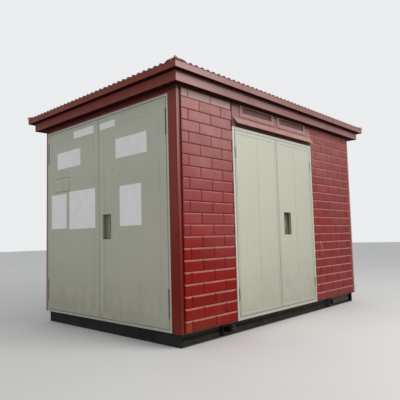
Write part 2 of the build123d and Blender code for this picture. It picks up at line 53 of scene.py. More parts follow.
def feed(node, inputs):
    # links sockets and sets plain values
    for key, value in inputs.items():
        if isinstance(value, bpy.types.NodeSocket):
            node.id_data.links.new(value, node.inputs[key])
        else:
            node.inputs[key].default_value = value


def addNode(tree, kind, inputs=None, **settings):
    made = tree.nodes.new(kind)
    for key, value in settings.items():
        setattr(made, key, value)
    feed(made, inputs or {})
    return made


def treeOf(*values):
    return next(value.id_data for value in values if isinstance(value, bpy.types.NodeSocket))


def make(kind, inputs, **settings):
    # a node with at least one link, by its first output
    return addNode(treeOf(*inputs.values()), kind, inputs, **settings).outputs[0]


def calc(operation, a, b=0.0, c=0.0):
    return make("ShaderNodeMath", {0: a, 1: b, 2: c}, operation=operation)


def times(first, *others):
    for other in others:
        first = calc("MULTIPLY", first, other)
    return first


def plus(first, *others):
    for other in others:
        first = calc("ADD", first, other)
    return first


def minus(first, second):
    return calc("SUBTRACT", first, second)


def absolute(value):
    return calc("ABSOLUTE", value)


def ramp(value, low, high, outLow=0.0, outHigh=1.0, smooth=True):
    return make("ShaderNodeMapRange", {
        "Value": value, "From Min": low, "From Max": high, "To Min": outLow, "To Max": outHigh,
    }, interpolation_type="SMOOTHSTEP" if smooth else "LINEAR")


def mixColour(factor, first, second, blend="MIX"):
    made = addNode(treeOf(factor, first, second), "ShaderNodeMix", data_type="RGBA", blend_type=blend)
    colourKeys = [key for key, socket in enumerate(made.inputs) if socket.type == "RGBA"]
    sockets = {0: factor}
    for key, value in zip(colourKeys, (first, second)):
        sockets[key] = value if isinstance(value, bpy.types.NodeSocket) else (*value, 1.0)
    feed(made, sockets)
    return [socket for socket in made.outputs if socket.type == "RGBA"][0]


def noise(where, scale, detail=3.0, rough=0.55, stretch=None):
    if stretch:
        where = make("ShaderNodeMapping", {"Vector": where, "Scale": stretch})
    return make("ShaderNodeTexNoise", {"Vector": where, "Scale": scale, "Detail": detail, "Roughness": rough})


clouds = {
    # scale, detail, roughness and stretch of the noise, where it is cut off, what it gives there if not 0 and 1
    "wander": (1.3, 2.0, 0.55, None, 0.3, 0.7, -0.16, 0.16),
    "mottle": (5.0, 5.0, 0.6, None, 0.35, 0.7),
    "streak": (26.0, 4.0, 0.65, (1.0, 1.0, 0.035), 0.52, 0.74),
    "streakPatch": (1.7, 3.0, 0.55, None, 0.38, 0.66),
    "splashEdge": (7.0, 6.0, 0.7, (1.0, 1.0, 0.45), 0.3, 0.75, -0.28, 0.28),
    "specks": (95.0, 3.0, 0.7, None, 0.45, 0.62, 0.35, 1.0),
    "chips": (34.0, 6.0, 0.75, None, 0.735, 0.75),
    "scuffEdge": (170.0, 3.0, 0.7, None, 0.3, 0.7, -0.6, 0.6),
    "dustAndLightPatch": (12.0, 4.0, 0.6, None, 0.3, 0.7, 0.65, 1.0),
    "grain": (11.0, 4.0, 0.6, None, 0.3, 0.7, -0.07, 0.09),
    "wornSteel": (6.0, 4.0, 0.55, None, 0.35, 0.65),
    "rustTone": (60.0, 5.0, 0.7, None, 0.35, 0.65),
    "mudEdge": (13.0, 5.0, 0.7, None, 0.3, 0.7, -0.05, 0.05),
    "layerEdge": (9.0, 4.0, 0.7, (1.0, 1.0, 0.3), 0.3, 0.7, -0.003, 0.003),
    "agedFilm": (7.0, 4.0, 0.55, None, 0.35, 0.7),
    "filmGrime": (30.0, 5.0, 0.7, (1.0, 1.0, 0.08), 0.55, 0.75),
    "filmGrain": (16.0, 3.0, 0.55, None, 0.3, 0.7, -0.06, 0.08),
    "floorTone": (0.6, 2.0, 0.55, None, 0.3, 0.7),
}


def cloud(where, name, ownScale=None):
    scale, detail, rough, stretch, *cut = clouds[name]
    return ramp(noise(where, ownScale or scale, detail, rough, stretch), *cut)


def bump(height, strength, distance, under=None):
    inputs = {"Height": height, "Strength": strength, "Distance": distance}
    if under:
        inputs["Normal"] = under
    return make("ShaderNodeBump", inputs)


def blankMaterial(name):
    material = bpy.data.materials.new(name)
    material.use_nodes = True
    tree = material.node_tree
    tree.nodes.clear()
    shader = tree.nodes.new("ShaderNodeBsdfPrincipled")
    addNode(tree, "ShaderNodeOutputMaterial", {"Surface": shader.outputs[0]})
    return material, shader, tree.nodes.new("ShaderNodeTexCoord").outputs["Object"]


def readSpot(where):
    # where a point lies along, into and up the kiosk, and which way its surface faces
    tree = treeOf(where)
    place = addNode(tree, "ShaderNodeSeparateXYZ", {0: where}).outputs
    normal = tree.nodes.new("ShaderNodeNewGeometry").outputs["Normal"]
    facing = addNode(tree, "ShaderNodeSeparateXYZ", {0: normal}).outputs
    return {
        "where": where, "across": place[0], "inward": place[1], "height": place[2],
        "faceX": facing[0], "faceY": facing[1], "faceZ": facing[2],
    }


def dress(material, *names):
    for name in names:
        mesh = nodes[name].data
        mesh.materials.clear()
        mesh.materials.append(material)


def strip(value, levels, soft):
    # 1 between two levels, falling off softly outside them
    low, high = levels
    return times(ramp(value, low - soft, low), ramp(value, high + soft, high))


spans = {
    # metres along the front wall
    "rightMid": (-0.9, 1.1), "rightFadeAndReflection": (-1.5, 1.5), "rightPaintedShade": (-1.3, 1.5), "rightHalf": (0.0, 1.0),
    "farEdgeHighlight": (1.672, 1.688), "everywhere": (-2.0, 2.0),
    # metres up from the ground
    "highLedges": (1.4, 1.95), "cornerUp": (1.0, 2.0), "courseUp": (1.25, 0.8), "cupUp": (0.98, 1.18),
    # metres behind the outer faces, from a joint's middle or from a cup's middle
    "corner": (0.022, 0.006), "cupBack": (0.028, 0.034), "eaveLight": (-0.09, -0.15),
    "courseEdge": (0.0042, 0.0026), "cupReach": (0.1, 0.09),
    # parts of the normal
    "longSide": (0.3, 0.8), "upright": (0.8, 0.3), "underside": (0.3, 0.9), "ledge": (0.3, 0.8),
}
# how softly a strip ends, in metres, and how matt dirt, mud, rust and the painted shade under ledges make a
# surface
softEnds = {"cup": 0.01, "gapLight": 0.004, "rim": 0.001, "rimUp": 0.004, "groove": 0.002,
            "bandUp": 0.012, "bandAcross": 0.006, "bandInward": 0.008}
mattness = {"dirt": 0.25, "underShade": 0.45, "mud": 0.2, "rust": 0.85}


def scuff(spot, mark):
    # ragged line across the front wall, in metres along it and up it
    (startX, startZ), (endX, endZ) = mark["from"], mark["to"]
    runX, runZ = endX - startX, endZ - startZ
    offX = minus(spot["across"], startX)
    offZ = minus(spot["height"], startZ)
    dot = plus(times(offX, runX), times(offZ, runZ))
    along = ramp(calc("DIVIDE", dot, runX * runX + runZ * runZ), 0.0, 1.0, smooth=False)
    awayX = minus(offX, times(along, runX))
    awayZ = minus(offZ, times(along, runZ))
    squares = plus(times(awayX, awayX), times(awayZ, awayZ))
    ragged = times(cloud(spot["where"], "scuffEdge"), mark["width"])
    away = plus(calc("SQRT", squares), ragged)
    worn = ramp(away, mark["width"], mark["width"] * 0.4, 0.0, mark["strength"])
    return times(worn, calc("LESS_THAN", spot["inward"], -1.0))


def paintedRecessShade(spot, look, dustAndLight, colour):
    # painted shade in what lies behind the outer faces
    across, height, behind = spot["across"], spot["height"], spot["behind"]
    strength, darkeningColour = look["recessShade"]
    darkening = ramp(behind, look["recessFrom"], look["recessTo"], 0.0, strength)
    rightward = ramp(across, *spans["rightFadeAndReflection"], 1.0, look["rightRecessShade"], smooth=False)
    darkening = times(darkening, minus(1.0, dustAndLight), rightward)
    cup = look["cup"]
    if not cup:
        return mixColour(darkening, colour, darkeningColour)
    # only the handle cups get the painted shade; in the gaps round the leaves a pale painted light is laid
    # instead
    nearX = ramp(absolute(minus(across, cup["x"])), *spans["cupReach"])
    nearY = ramp(absolute(minus(spot["inward"], cup["y"])), *spans["cupReach"])
    cupUp = strip(height, cup["levels"], softEnds["cup"])
    inCup = times(calc("MAXIMUM", nearX, nearY), cupUp)
    # the painted shade is lighter on the cup's side wall, which the light from the front right reaches, than on
    # its back
    sideWall = times(nearX, calc("LESS_THAN", spot["faceX"], -0.5))
    darkening = times(darkening, inCup, minus(1.0, times(sideWall, cup["sideLight"])))
    gapLight = times(strip(behind, cup["gapLightDepth"], softEnds["gapLight"]), cup["gapLight"])
    colour = mixColour(times(gapLight, minus(1.0, inCup)), colour, cup["gapLightColour"])
    colour = mixColour(darkening, colour, darkeningColour)
    # painted shade on the cup's back, deeper towards its top
    deep = times(nearX, ramp(behind, *spans["cupBack"]), cupUp)
    deep = times(deep, ramp(height, *spans["cupUp"], *cup["backShade"]))
    return mixColour(deep, colour, cup["backShadeColour"])


def cornerWear(spot, look, colour):
    # the folded corners get painted shade on the ends and a painted highlight on the long sides
    across, onWall = spot["across"], spot["onWall"]
    strength, cornerShadeColour = look["corner"]
    longSide = calc("GREATER_THAN", absolute(spot["faceY"]), 0.5)
    edge = times(ramp(spot["fromEdge"], *spans["corner"], 0.0, strength), onWall)
    high = ramp(spot["height"], *spans["cornerUp"])
    highlightHere = calc("MAXIMUM", high, ramp(across, *spans["rightHalf"]))
    colour = mixColour(times(edge, minus(1.0, longSide)), colour, cornerShadeColour)
    colour = mixColour(times(edge, longSide, highlightHere), colour, look["cornerHighlight"])
    # the farther front corner gets the painted highlight down its whole height, its groove too
    onFront = calc("LESS_THAN", spot["inward"], 0.0)
    notOnEnd = calc("LESS_THAN", spot["faceX"], 0.5)
    far = times(ramp(across, *spans["farEdgeHighlight"], 0.0, look["farEdgeHighlight"]), onWall, notOnEnd, onFront)
    colour = mixColour(far, colour, look["cornerHighlight"])
    # a painted shadow line runs along the groove beside the nearer posts
    beside = strip(times(across, -1.0), look["grooveSpan"], softEnds["groove"])
    return mixColour(times(beside, longSide, look["groove"], onWall), colour, look["recessShade"][1])


def bandMask(spot, band):
    # a level band recoloured: painted shade under a hood or a cornice, a paler or darker stretch, or a stain
    span, depth = band.get("span", spans["everywhere"]), band.get("inward", spans["everywhere"])
    mask = times(strip(spot["height"], band["levels"], softEnds["bandUp"]), band["strength"],
                 strip(spot["across"], span, softEnds["bandAcross"]),
                 strip(spot["inward"], depth, softEnds["bandInward"]))
    if band.get("proud"):
        # of what stands off the wall, only the upright faces
        mask = times(mask, ramp(absolute(spot["faceZ"]), *spans["upright"]))
    else:
        mask = times(mask, spot["onWall"])
    if band.get("fade"):
        fade = ramp(spot["across"], *band["fade"], 1.0, 0.0)
        mask = times(mask, fade, ramp(absolute(spot["faceY"]), *spans["longSide"]))
    return mask


def courseLines(spot, look):
    # painted highlight on the level joints, low on the wall and on the right half, where the bricks' upper
    # bevels catch the light; the upright joints get none
    course = calc("DIVIDE", minus(spot["height"], look["courseLevel"]), look["coursePitch"])
    offCourse = times(calc("PINGPONG", course, 0.5), look["coursePitch"])
    low = ramp(spot["height"], *spans["courseUp"], 0.0, look["courseHighlight"])
    right = ramp(spot["across"], *spans["rightHalf"], 0.0, look["courseHighlightRight"])
    return times(ramp(offCourse, *spans["courseEdge"]), calc("MAXIMUM", low, right))


# what a paint has where its own look says nothing; kinds of wear, painted light and painted shade have a
# strength and a colour
plainLook = {
    "endFadeAndReflection": 1.0, "rightFadeAndReflection": 1.0, "rightMid": 0.0, "rightPaintedShade": None, "shadeAttribute": None,
    "mottleScale": 5.0, "streakScale": 26.0, "scuffs": [], "bands": [], "rims": None, "cup": None,
    "dustAndLight": (0.0, (0.5, 0.5, 0.5)), "dustAndLightFrom": 0.2, "dustAndLightTo": 0.62, "dustAndLightHigh": None,
    "underShade": (0.0, (0.1, 0.1, 0.1)), "courseHighlight": 0.0, "innerColour": None, "eaveLight": None,
    "recessShade": None, "recessFrom": 0.0015, "recessTo": 0.009, "rightRecessShade": 1.0, "corner": None,
    "specular": 0.5, "dents": 0.25, "relief": 0.0, "reliefDepth": 0.003, "dentScale": 2.6, "dentDepth": 0.01,
    "peel": 0.08, "peelScale": 420.0, "peelDepth": 0.0006, "splashFoot": kiosk["wallBottom"] - 0.05,
}


def weatheredPaintAndLight(name, ownLook):
    # enamel that grows paler upwards, partly by fading and partly as a painted sky reflection, streaks under
    # rain, takes dust and painted light on what faces up and painted shade under what faces down
    look = {**plainLook, **ownLook}
    material, shader, where = blankMaterial(name)
    spot = readSpot(where)
    across, height = spot["across"], spot["height"]

    level = plus(height, cloud(where, "wander"))
    lowLevel, midLevel, topLevel = look["levels"]
    lowMid = ramp(level, lowLevel, midLevel)
    if look["rightMid"]:
        rightMid = ramp(across, *spans["rightMid"], 0.0, look["rightMid"])
        lowMid = calc("MAXIMUM", lowMid, rightMid)
    midTop = ramp(level, midLevel, topLevel)
    # the pale top, partly fading and partly a painted sky reflection, is weaker on the end walls and on the
    # half farther from the corner
    longWall = ramp(absolute(spot["faceY"]), *spans["longSide"], look["endFadeAndReflection"], 1.0)
    rightward = ramp(across, *spans["rightFadeAndReflection"], 1.0, look["rightFadeAndReflection"], smooth=False)
    midTop = times(midTop, times(longWall, rightward))
    lowColour, midColour, topColour = look["colours"]
    colour = mixColour(midTop, mixColour(lowMid, lowColour, midColour), topColour)

    if look["shadeAttribute"]:
        # each pressed brick is a shade of its own
        shadeNode = addNode(treeOf(where), "ShaderNodeAttribute", attribute_name=look["shadeAttribute"])
        spread = look["shadeSpread"]
        tone = ramp(shadeNode.outputs["Fac"], 0.0, 1.0, 1.0 - spread, 1.0 + spread, smooth=False)
        colour = mixColour(1.0, colour, tone, "MULTIPLY")
    # painted shade that darkens the front towards its right
    if look["rightPaintedShade"]:
        tone = ramp(across, *spans["rightPaintedShade"], 1.0, look["rightPaintedShade"], smooth=False)
        colour = mixColour(1.0, colour, tone, "MULTIPLY")

    splash = ramp(plus(height, cloud(where, "splashEdge")), look["splashTop"], look["splashFoot"])
    wear = {
        "mottle": cloud(where, "mottle", look["mottleScale"]),
        "streak": times(cloud(where, "streak", look["streakScale"]), cloud(where, "streakPatch")),
        "splash": times(splash, cloud(where, "specks")),
        "chips": cloud(where, "chips"),
    }
    for kind in wear:
        strength, wornColour = look[kind]
        wear[kind] = times(wear[kind], strength)
        colour = mixColour(wear[kind], colour, wornColour)
    for mark in look["scuffs"]:
        colour = mixColour(scuff(spot, mark), colour, mark["colour"])

    # dust and painted light lie on what faces up, painted shade lies under what faces down
    strength, dustAndLightColour = look["dustAndLight"]
    dustAndLight = times(ramp(spot["faceZ"], look["dustAndLightFrom"], look["dustAndLightTo"]), strength)
    if look["dustAndLightHigh"]:
        # high on the nearer half the ledges get less of the dust and painted light
        keep = ramp(height, *spans["highLedges"], 1.0, look["dustAndLightHigh"])
        dustAndLight = times(dustAndLight, calc("MAXIMUM", keep, ramp(across, *spans["rightHalf"])))
    colour = mixColour(times(dustAndLight, cloud(where, "dustAndLightPatch")), colour, dustAndLightColour)
    strength, underShadeColour = look["underShade"]
    underShade = ramp(times(spot["faceZ"], -1.0), *spans["underside"], 0.0, strength)
    colour = mixColour(underShade, colour, underShadeColour)

    # how far a point lies behind the nearest outer face, and from the nearest corner
    behindX = minus(kiosk["halfLength"], absolute(across))
    behindY = minus(kiosk["halfWidth"], absolute(spot["inward"]))
    behind = calc("MINIMUM", behindX, behindY)
    spot["behind"], spot["fromEdge"] = behind, calc("MAXIMUM", behindX, behindY)
    spot["onWall"] = calc("GREATER_THAN", behind, kiosk["onWall"])
    # painted shade in recesses, gaps and grooves
    if look["recessShade"]:
        colour = paintedRecessShade(spot, look, dustAndLight, colour)
    if look["rims"]:
        # rims round the louvres stand proud and are paler
        rims = look["rims"]
        proud = times(strip(behind, rims["behind"], softEnds["rim"]), rims["strength"])
        proud = times(proud, strip(height, rims["levels"], softEnds["rimUp"]))
        colour = mixColour(proud, colour, rims["colour"])
    # painted shade and painted highlights on the corners
    if look["corner"]:
        colour = cornerWear(spot, look, colour)
    # painted light on the roof sheets' overhang past the walls, lighter towards their edge
    if look["eaveLight"]:
        strength, eaveLightColour = look["eaveLight"]
        colour = mixColour(ramp(behind, *spans["eaveLight"], 0.0, strength), colour, eaveLightColour)
    for band in look["bands"]:
        colour = mixColour(bandMask(spot, band), colour, band.get("colour", underShadeColour))
    # painted highlight along the level joints
    if look["courseHighlight"]:
        colour = mixColour(courseLines(spot, look), colour, dustAndLightColour)
    if look["innerColour"]:
        inside = calc("GREATER_THAN", behind, kiosk["innerFrom"])
        colour = mixColour(inside, colour, look["innerColour"])

    rough = plus(cloud(where, "grain"), look["roughness"])
    rough = plus(rough, times(plus(wear["splash"], wear["streak"], dustAndLight), mattness["dirt"]))
    rough = plus(rough, times(underShade, mattness["underShade"]))

    relief = bump(noise(where, look["peelScale"], 2.0, 0.5), look["peel"], look["peelDepth"])
    if look["relief"]:
        # rough stone face pressed into the bricks
        stone = noise(where, look["reliefScale"], 6.0, 0.62, (1.0, 1.0, 2.2))
        relief = bump(stone, look["relief"], look["reliefDepth"], relief)
    dents = noise(where, look["dentScale"], 2.0, 0.45)
    relief = bump(dents, look["dents"], look["dentDepth"], relief)
    feed(shader, {
        "Base Color": colour, "Roughness": rough, "Specular IOR Level": look["specular"], "Normal": relief,
    })
    return material


inside = {"innerColour": (0.46, 0.46, 0.42)}
redLook = {
    **inside,
    "colours": ((0.19, 0.015, 0.008), (0.25, 0.052, 0.038), (0.312, 0.182, 0.171)),
    "levels": (0.4, 1.5, 2.28), "endFadeAndReflection": 0.08,
    "mottle": (0.22, (0.185, 0.036, 0.028)),
    "streak": (0.22, (0.095, 0.022, 0.016)),
    "splashTop": 0.34, "splash": (0.3, (0.105, 0.05, 0.03)),
    "chips": (0.45, (0.31, 0.16, 0.13)),
    "dustAndLight": (0.9, (0.52, 0.31, 0.255)), "underShade": (1.0, (0.022, 0.0012, 0.0006)),
    "recessShade": (0.8, (0.072, 0.004, 0.002)), "recessTo": 0.013, "rightRecessShade": 0.15,
    "rims": {
        "behind": (-0.0085, -0.0045), "levels": (2.205, 2.318), "strength": 0.5, "colour": (0.4, 0.26, 0.255),
    },
    "corner": (0.6, (0.11, 0.012, 0.008)), "cornerHighlight": (0.52, 0.3, 0.28),
    "farEdgeHighlight": 0.75, "grooveSpan": (1.7, 1.712), "groove": 0.85,
    "bands": [
        # painted shade under the rain hoods and in a strip under the lower cornice
        {"levels": (2.06, 2.15), "span": (-0.9, 1.0), "strength": 0.8},
        {"levels": (2.3, 2.33), "span": (-2.0, 2.0), "strength": 0.6},
        # the cornice is paler at its nearer end and darker at the other
        {"levels": (2.3, 2.7), "inward": (-1.5, -1.2), "fade": (-1.9, -0.9), "strength": 0.45,
         "colour": (0.6, 0.4, 0.4), "proud": True},
        {"levels": (2.3, 2.7), "inward": (-1.5, -1.2), "fade": (0.2, -0.6), "strength": 0.36,
         "colour": (0.12, 0.05, 0.04), "proud": True},
        # painted shadow of the upper cornice across the top of the lower one
        {"levels": (2.4, 2.414), "inward": (-1.29, -1.2), "fade": (2.0, 3.0), "strength": 0.8,
         "colour": (0.05, 0.016, 0.018), "proud": True},
    ],
    "roughness": 0.46, "specular": 0.08, "dents": 0.18,
}
brickLook = {
    "colours": ((0.218, 0.007, 0.005), (0.27, 0.052, 0.052), (0.425, 0.23, 0.218)),
    "levels": (0.68, 1.28, 2.38), "rightFadeAndReflection": 0.25,
    "shadeAttribute": "brickShade", "shadeSpread": 0.1, "rightPaintedShade": 0.75, "rightMid": 0.62,
    "mottleScale": 9.0, "mottle": (0.18, (0.19, 0.013, 0.01)),
    "streak": (0.2, (0.14, 0.024, 0.02)),
    "splashTop": 0.38, "splash": (0.3, (0.13, 0.07, 0.05)),
    "chips": (0.55, (0.4, 0.24, 0.21)),
    "dustAndLight": (0.95, (0.5, 0.205, 0.17)), "dustAndLightFrom": 0.12, "dustAndLightTo": 0.42, "dustAndLightHigh": 0.15,
    "underShade": (0.85, (0.045, 0.003, 0.002)),
    "bands": [
        {"levels": (2.247, 2.33), "span": (-2.0, 0.3), "strength": 0.6, "colour": (0.52, 0.4, 0.385)},
        {"levels": (0.1, 0.195), "span": (-1.68, -1.605), "strength": 0.3,
         "colour": (0.42, 0.09, 0.04)},
    ],
    "scuffs": [
        {"from": (0.787, 0.866), "to": (0.829, 0.775), "width": 0.0045, "strength": 0.85,
         "colour": (0.52, 0.42, 0.38)},
        {"from": (0.808, 0.735), "to": (0.834, 0.669), "width": 0.005, "strength": 0.85,
         "colour": (0.33, 0.16, 0.06)},
    ],
    "roughness": 0.5, "specular": 0.08, "relief": 0.22, "reliefScale": 42.0, "dents": 0.12,
}
jointLook = {
    **brickLook, **inside,
    "shadeAttribute": None, "scuffs": [], "bands": [], "relief": 0.0, "roughness": 0.6,
    "colours": ((0.125, 0.005, 0.004), (0.115, 0.012, 0.011), (0.115, 0.022, 0.02)),
    "courseHighlight": 0.72, "courseHighlightRight": 0.504,
    "courseLevel": kiosk["wallBottom"] + 0.105, "coursePitch": 0.106,
}
louvreLook = {
    **redLook,
    "colours": (*redLook["colours"][:2], (0.4, 0.225, 0.205)), "levels": (0.4, 1.6, 2.1), "endFadeAndReflection": 1.0,
    "dustAndLight": (0.9, (0.52, 0.33, 0.32)), "underShade": (0.25, (0.06, 0.02, 0.019)),
    "recessShade": None, "corner": None, "bands": [], "rims": None,
}
doorLook = {
    "colours": ((0.455, 0.45, 0.36), (0.508, 0.513, 0.405), (0.545, 0.556, 0.458)),
    "rightPaintedShade": 0.74,
    "levels": (0.2, 1.1, 2.3),
    "mottleScale": 3.0, "mottle": (0.25, (0.45, 0.454, 0.384)),
    "streakScale": 34.0, "streak": (0.42, (0.36, 0.352, 0.284)),
    "splashTop": 0.46, "splash": (0.5, (0.31, 0.28, 0.212)),
    "chips": (0.35, (0.3, 0.25, 0.19)),
    "dustAndLight": (0.75, (0.68, 0.65, 0.52)), "underShade": (0.35, (0.11, 0.106, 0.076)),
    "recessShade": (0.64, (0.1, 0.102, 0.068)), "recessFrom": 0.004, "recessTo": 0.024,
    "cup": {
        "x": 0.026, "y": -0.096, "levels": (0.95, 1.23),
        "gapLight": 0.85, "gapLightDepth": (0.006, 0.034), "gapLightColour": (0.8, 0.79, 0.7),
        "sideLight": 0.75, "backShade": (0.6, 0.9), "backShadeColour": (0.05, 0.05, 0.036),
    },
    "roughness": 0.46, "specular": 0.35, "dents": 0.35,
}
frameLook = {
    **doorLook,
    "colours": ((0.5, 0.486, 0.42), (0.53, 0.526, 0.45), (0.585, 0.584, 0.53)),
    "rightPaintedShade": 0.92, "splash": (0.35, (0.31, 0.28, 0.212)),
}
flapLook = {
    **doorLook,
    "colours": ((0.46, 0.46, 0.385), (0.51, 0.515, 0.422), (0.545, 0.556, 0.468)),
    "recessShade": None, "cup": None,
    "bands": [
        # painted shadow lines along the upper, lower and nearer edges of the flap
        {"levels": (1.69, 1.71), "strength": 0.65, "colour": (0.21, 0.21, 0.165), "proud": True},
        {"levels": (1.52, 1.532), "strength": 0.6, "colour": (0.21, 0.21, 0.165), "proud": True},
        {"levels": (1.53, 1.66), "inward": (0.6, 0.628), "strength": 0.55,
         "colour": (0.23, 0.23, 0.19), "proud": True},
    ],
}
roofLook = {
    "colours": ((0.26, 0.085, 0.07), (0.26, 0.085, 0.07), (0.3, 0.112, 0.096)),
    "levels": (0.2, 2.4, 2.7),
    "mottleScale": 4.0, "mottle": (0.45, (0.205, 0.085, 0.074)),
    "streak": (0.2, (0.14, 0.075, 0.066)),
    "splashTop": 0.4, "splash": (0.0, (0.2, 0.15, 0.1)),
    "chips": (0.5, (0.34, 0.27, 0.23)),
    "underShade": (0.3, (0.045, 0.009, 0.006)), "eaveLight": (0.85, (0.56, 0.36, 0.33)),
    "roughness": 0.58, "specular": 0.25, "dents": 0.15,
}
innerLook = {
    "colours": ((0.42, 0.42, 0.38), (0.46, 0.46, 0.42), (0.48, 0.48, 0.44)),
    "levels": (0.2, 1.1, 2.3),
    "mottle": (0.2, (0.36, 0.36, 0.33)),
    "streak": (0.1, (0.3, 0.29, 0.25)),
    "splashTop": 0.3, "splash": (0.2, (0.25, 0.22, 0.17)),
    "chips": (0.2, (0.3, 0.28, 0.24)),
    "roughness": 0.6,
}
redPaint = weatheredPaintAndLight("redEnamel", redLook)
brickPaint = weatheredPaintAndLight("brickEnamel", brickLook)
jointPaint = weatheredPaintAndLight("brickJointEnamel", jointLook)
louvrePaint = weatheredPaintAndLight("louvreEnamel", louvreLook)
doorPaint = weatheredPaintAndLight("doorEnamel", doorLook)
framePaint = weatheredPaintAndLight("frameEnamel", frameLook)
flapPaint = weatheredPaintAndLight("flapEnamel", flapLook)
roofPaint = weatheredPaintAndLight("roofSheetCoat", roofLook)
innerPaint = weatheredPaintAndLight("innerEnamel", innerLook)


steelDirt = {
    "rustDark": (0.115, 0.04, 0.018), "rustLight": (0.23, 0.1, 0.045),
    "mudTop": 0.05, "mud": 0.1, "mudColour": (0.11, 0.095, 0.07),
    "dustAndLight": 0.3, "dustAndLightColour": (0.15, 0.135, 0.112),
    "bloom": 0.5, "metallic": 0.0, "specular": 0.5, "layers": [], "layerSpan": (-1.4, 0.6),
    "scale": (0.5, 0.0015), "pits": (0.2, 0.001), "pitScale": 240.0,
}


def rustySteel(name, ownLook):
    # dark steel with rust blooms, dust and painted light on its ledges, and dried mud
    look = {**steelDirt, **ownLook}
    material, shader, where = blankMaterial(name)
    spot = readSpot(where)
    across, height = spot["across"], spot["height"]
    colour = mixColour(cloud(where, "wornSteel"), look["colour"], look["worn"])
    bloom = noise(where, look["bloomScale"], 7.0, 0.72)
    bloomMask = ramp(bloom, look["bloomFrom"], look["bloomFrom"] + 0.12)
    rust = mixColour(cloud(where, "rustTone"), look["rustDark"], look["rustLight"])
    colour = mixColour(times(bloomMask, look["bloom"]), colour, rust)
    mudLevel = plus(height, cloud(where, "mudEdge"))
    mud = ramp(mudLevel, look["mudTop"], 0.0, 0.0, look["mud"])
    colour = mixColour(mud, colour, look["mudColour"])
    for layer in look["layers"]:
        # level bands along the long sides, painted shadow among them
        layerLevel = plus(height, cloud(where, "layerEdge"))
        mask = times(strip(layerLevel, layer["levels"], layer["soft"]),
                     ramp(absolute(spot["faceY"]), *spans["longSide"]),
                     ramp(across, *layer.get("span", look["layerSpan"]), *layer["sides"]))
        colour = mixColour(mask, colour, layer["colour"])
    dustAndLight = times(ramp(spot["faceZ"], *spans["ledge"]), look["dustAndLight"])
    rough = ramp(bloomMask, 0.0, 1.0, look["roughness"], mattness["rust"])
    scale = bump(bloom, *look["scale"])
    feed(shader, {
        "Base Color": mixColour(dustAndLight, colour, look["dustAndLightColour"]),
        "Roughness": plus(rough, times(mud, mattness["mud"])),
        "Metallic": look["metallic"], "Specular IOR Level": look["specular"],
        "Normal": bump(noise(where, look["pitScale"], 3.0, 0.6), *look["pits"], scale),
    })
    return material


baseSteel = rustySteel("baseSteel", {
    "colour": (0.01, 0.0105, 0.012), "worn": (0.023, 0.0225, 0.0235), "bloomScale": 9.0, "bloomFrom": 0.57,
    "rustDark": (0.04, 0.014, 0.008), "rustLight": (0.085, 0.034, 0.018),
    "bloom": 0.55, "mudTop": 0.07, "mud": 0.3, "mudColour": (0.046, 0.04, 0.029),
    "dustAndLight": 0.55, "dustAndLightColour": (0.072, 0.058, 0.046), "roughness": 0.62, "specular": 0.12,
    "layers": [
        {"levels": (0.078, 0.13), "soft": 0.006, "sides": (0.55, 0.95), "colour": (0.046, 0.039, 0.034)},
        # a painted shadow line where the channel's web lies in shade
        {"levels": (0.048, 0.066), "soft": 0.009, "sides": (0.9, 0.3), "colour": (0.008, 0.004, 0.002)},
        {"levels": (-0.01, 0.036), "soft": 0.01, "sides": (0.85, 0.65), "colour": (0.038, 0.035, 0.026)},
        {"levels": (-0.01, 0.007), "soft": 0.004, "sides": (0.85, 0.75), "colour": (0.105, 0.1, 0.082)},
        {"levels": (0.03, 0.13), "soft": 0.01, "span": (0.75, 1.3), "sides": (0.0, 0.75),
         "colour": (0.1, 0.088, 0.072)},
    ],
})
# the lugs' bluish grey is partly a painted sky reflection
lugSteel = rustySteel("lugSteel", {
    "colour": (0.036, 0.046, 0.06), "worn": (0.054, 0.063, 0.076), "bloomScale": 30.0, "bloomFrom": 0.58,
    "mud": 0.2, "roughness": 0.55, "specular": 0.25,
    "layers": [
        {"levels": (0.0, 0.2), "soft": 0.01, "span": (0.0, 1.0), "sides": (0.0, 0.92),
         "colour": (0.004, 0.004, 0.004)},
    ],
})
hingeSteel = rustySteel("hingeSteel", {
    "colour": (0.052, 0.054, 0.048), "worn": (0.105, 0.104, 0.09), "bloomScale": 45.0, "bloomFrom": 0.57,
    "roughness": 0.48, "metallic": 0.2,
})
floorSteel = rustySteel("floorSteel", {
    "colour": (0.06, 0.06, 0.058), "worn": (0.11, 0.106, 0.098), "bloomScale": 5.0, "bloomFrom": 0.6,
    "mudTop": 0.25, "mud": 0.35, "roughness": 0.55, "metallic": 0.2,
})
leverMetal = rustySteel("leverZinc", {
    "colour": (0.26, 0.26, 0.24), "worn": (0.18, 0.18, 0.16), "bloomScale": 60.0, "bloomFrom": 0.66,
    "bloom": 0.4, "roughness": 0.42, "metallic": 0.6,
})
print("kiosk: paints and metals made")

dress(redPaint, "front_corner_posts", "back_corner_posts", "front_vent_panel", "back_vent_panel",
      "rain_hoods", "end_top_rails", "lower_cornice", "upper_cornice")
dress(louvrePaint, "louvre_blades")
dress(jointPaint, "front_brick_wall_left", "front_brick_wall_right", "back_brick_wall_left",
      "back_brick_wall_right")
dress(framePaint, "front_door_frame", "back_door_frame", "left_end_door_frame", "right_end_door_frame")
dress(doorPaint, "front_left_leaf", "front_right_leaf", "left_end_left_leaf", "left_end_right_leaf",
      "back_leaves", "right_end_leaves")
dress(hingeSteel, "front_hinge_pins", "left_end_hinge_pins", "fixed_door_hinges", "front_left_knuckles",
      "front_right_knuckles", "left_end_left_knuckles", "left_end_right_knuckles")
dress(leverMetal, "front_lock_lever", "left_end_lock_lever", "fixed_lock_levers")
dress(baseSteel, "base_long_channels", "base_end_channels", "lifting_sleeves", "base_cross_beams")
dress(lugSteel, "lifting_lugs")
dress(floorSteel, "floor_plate")
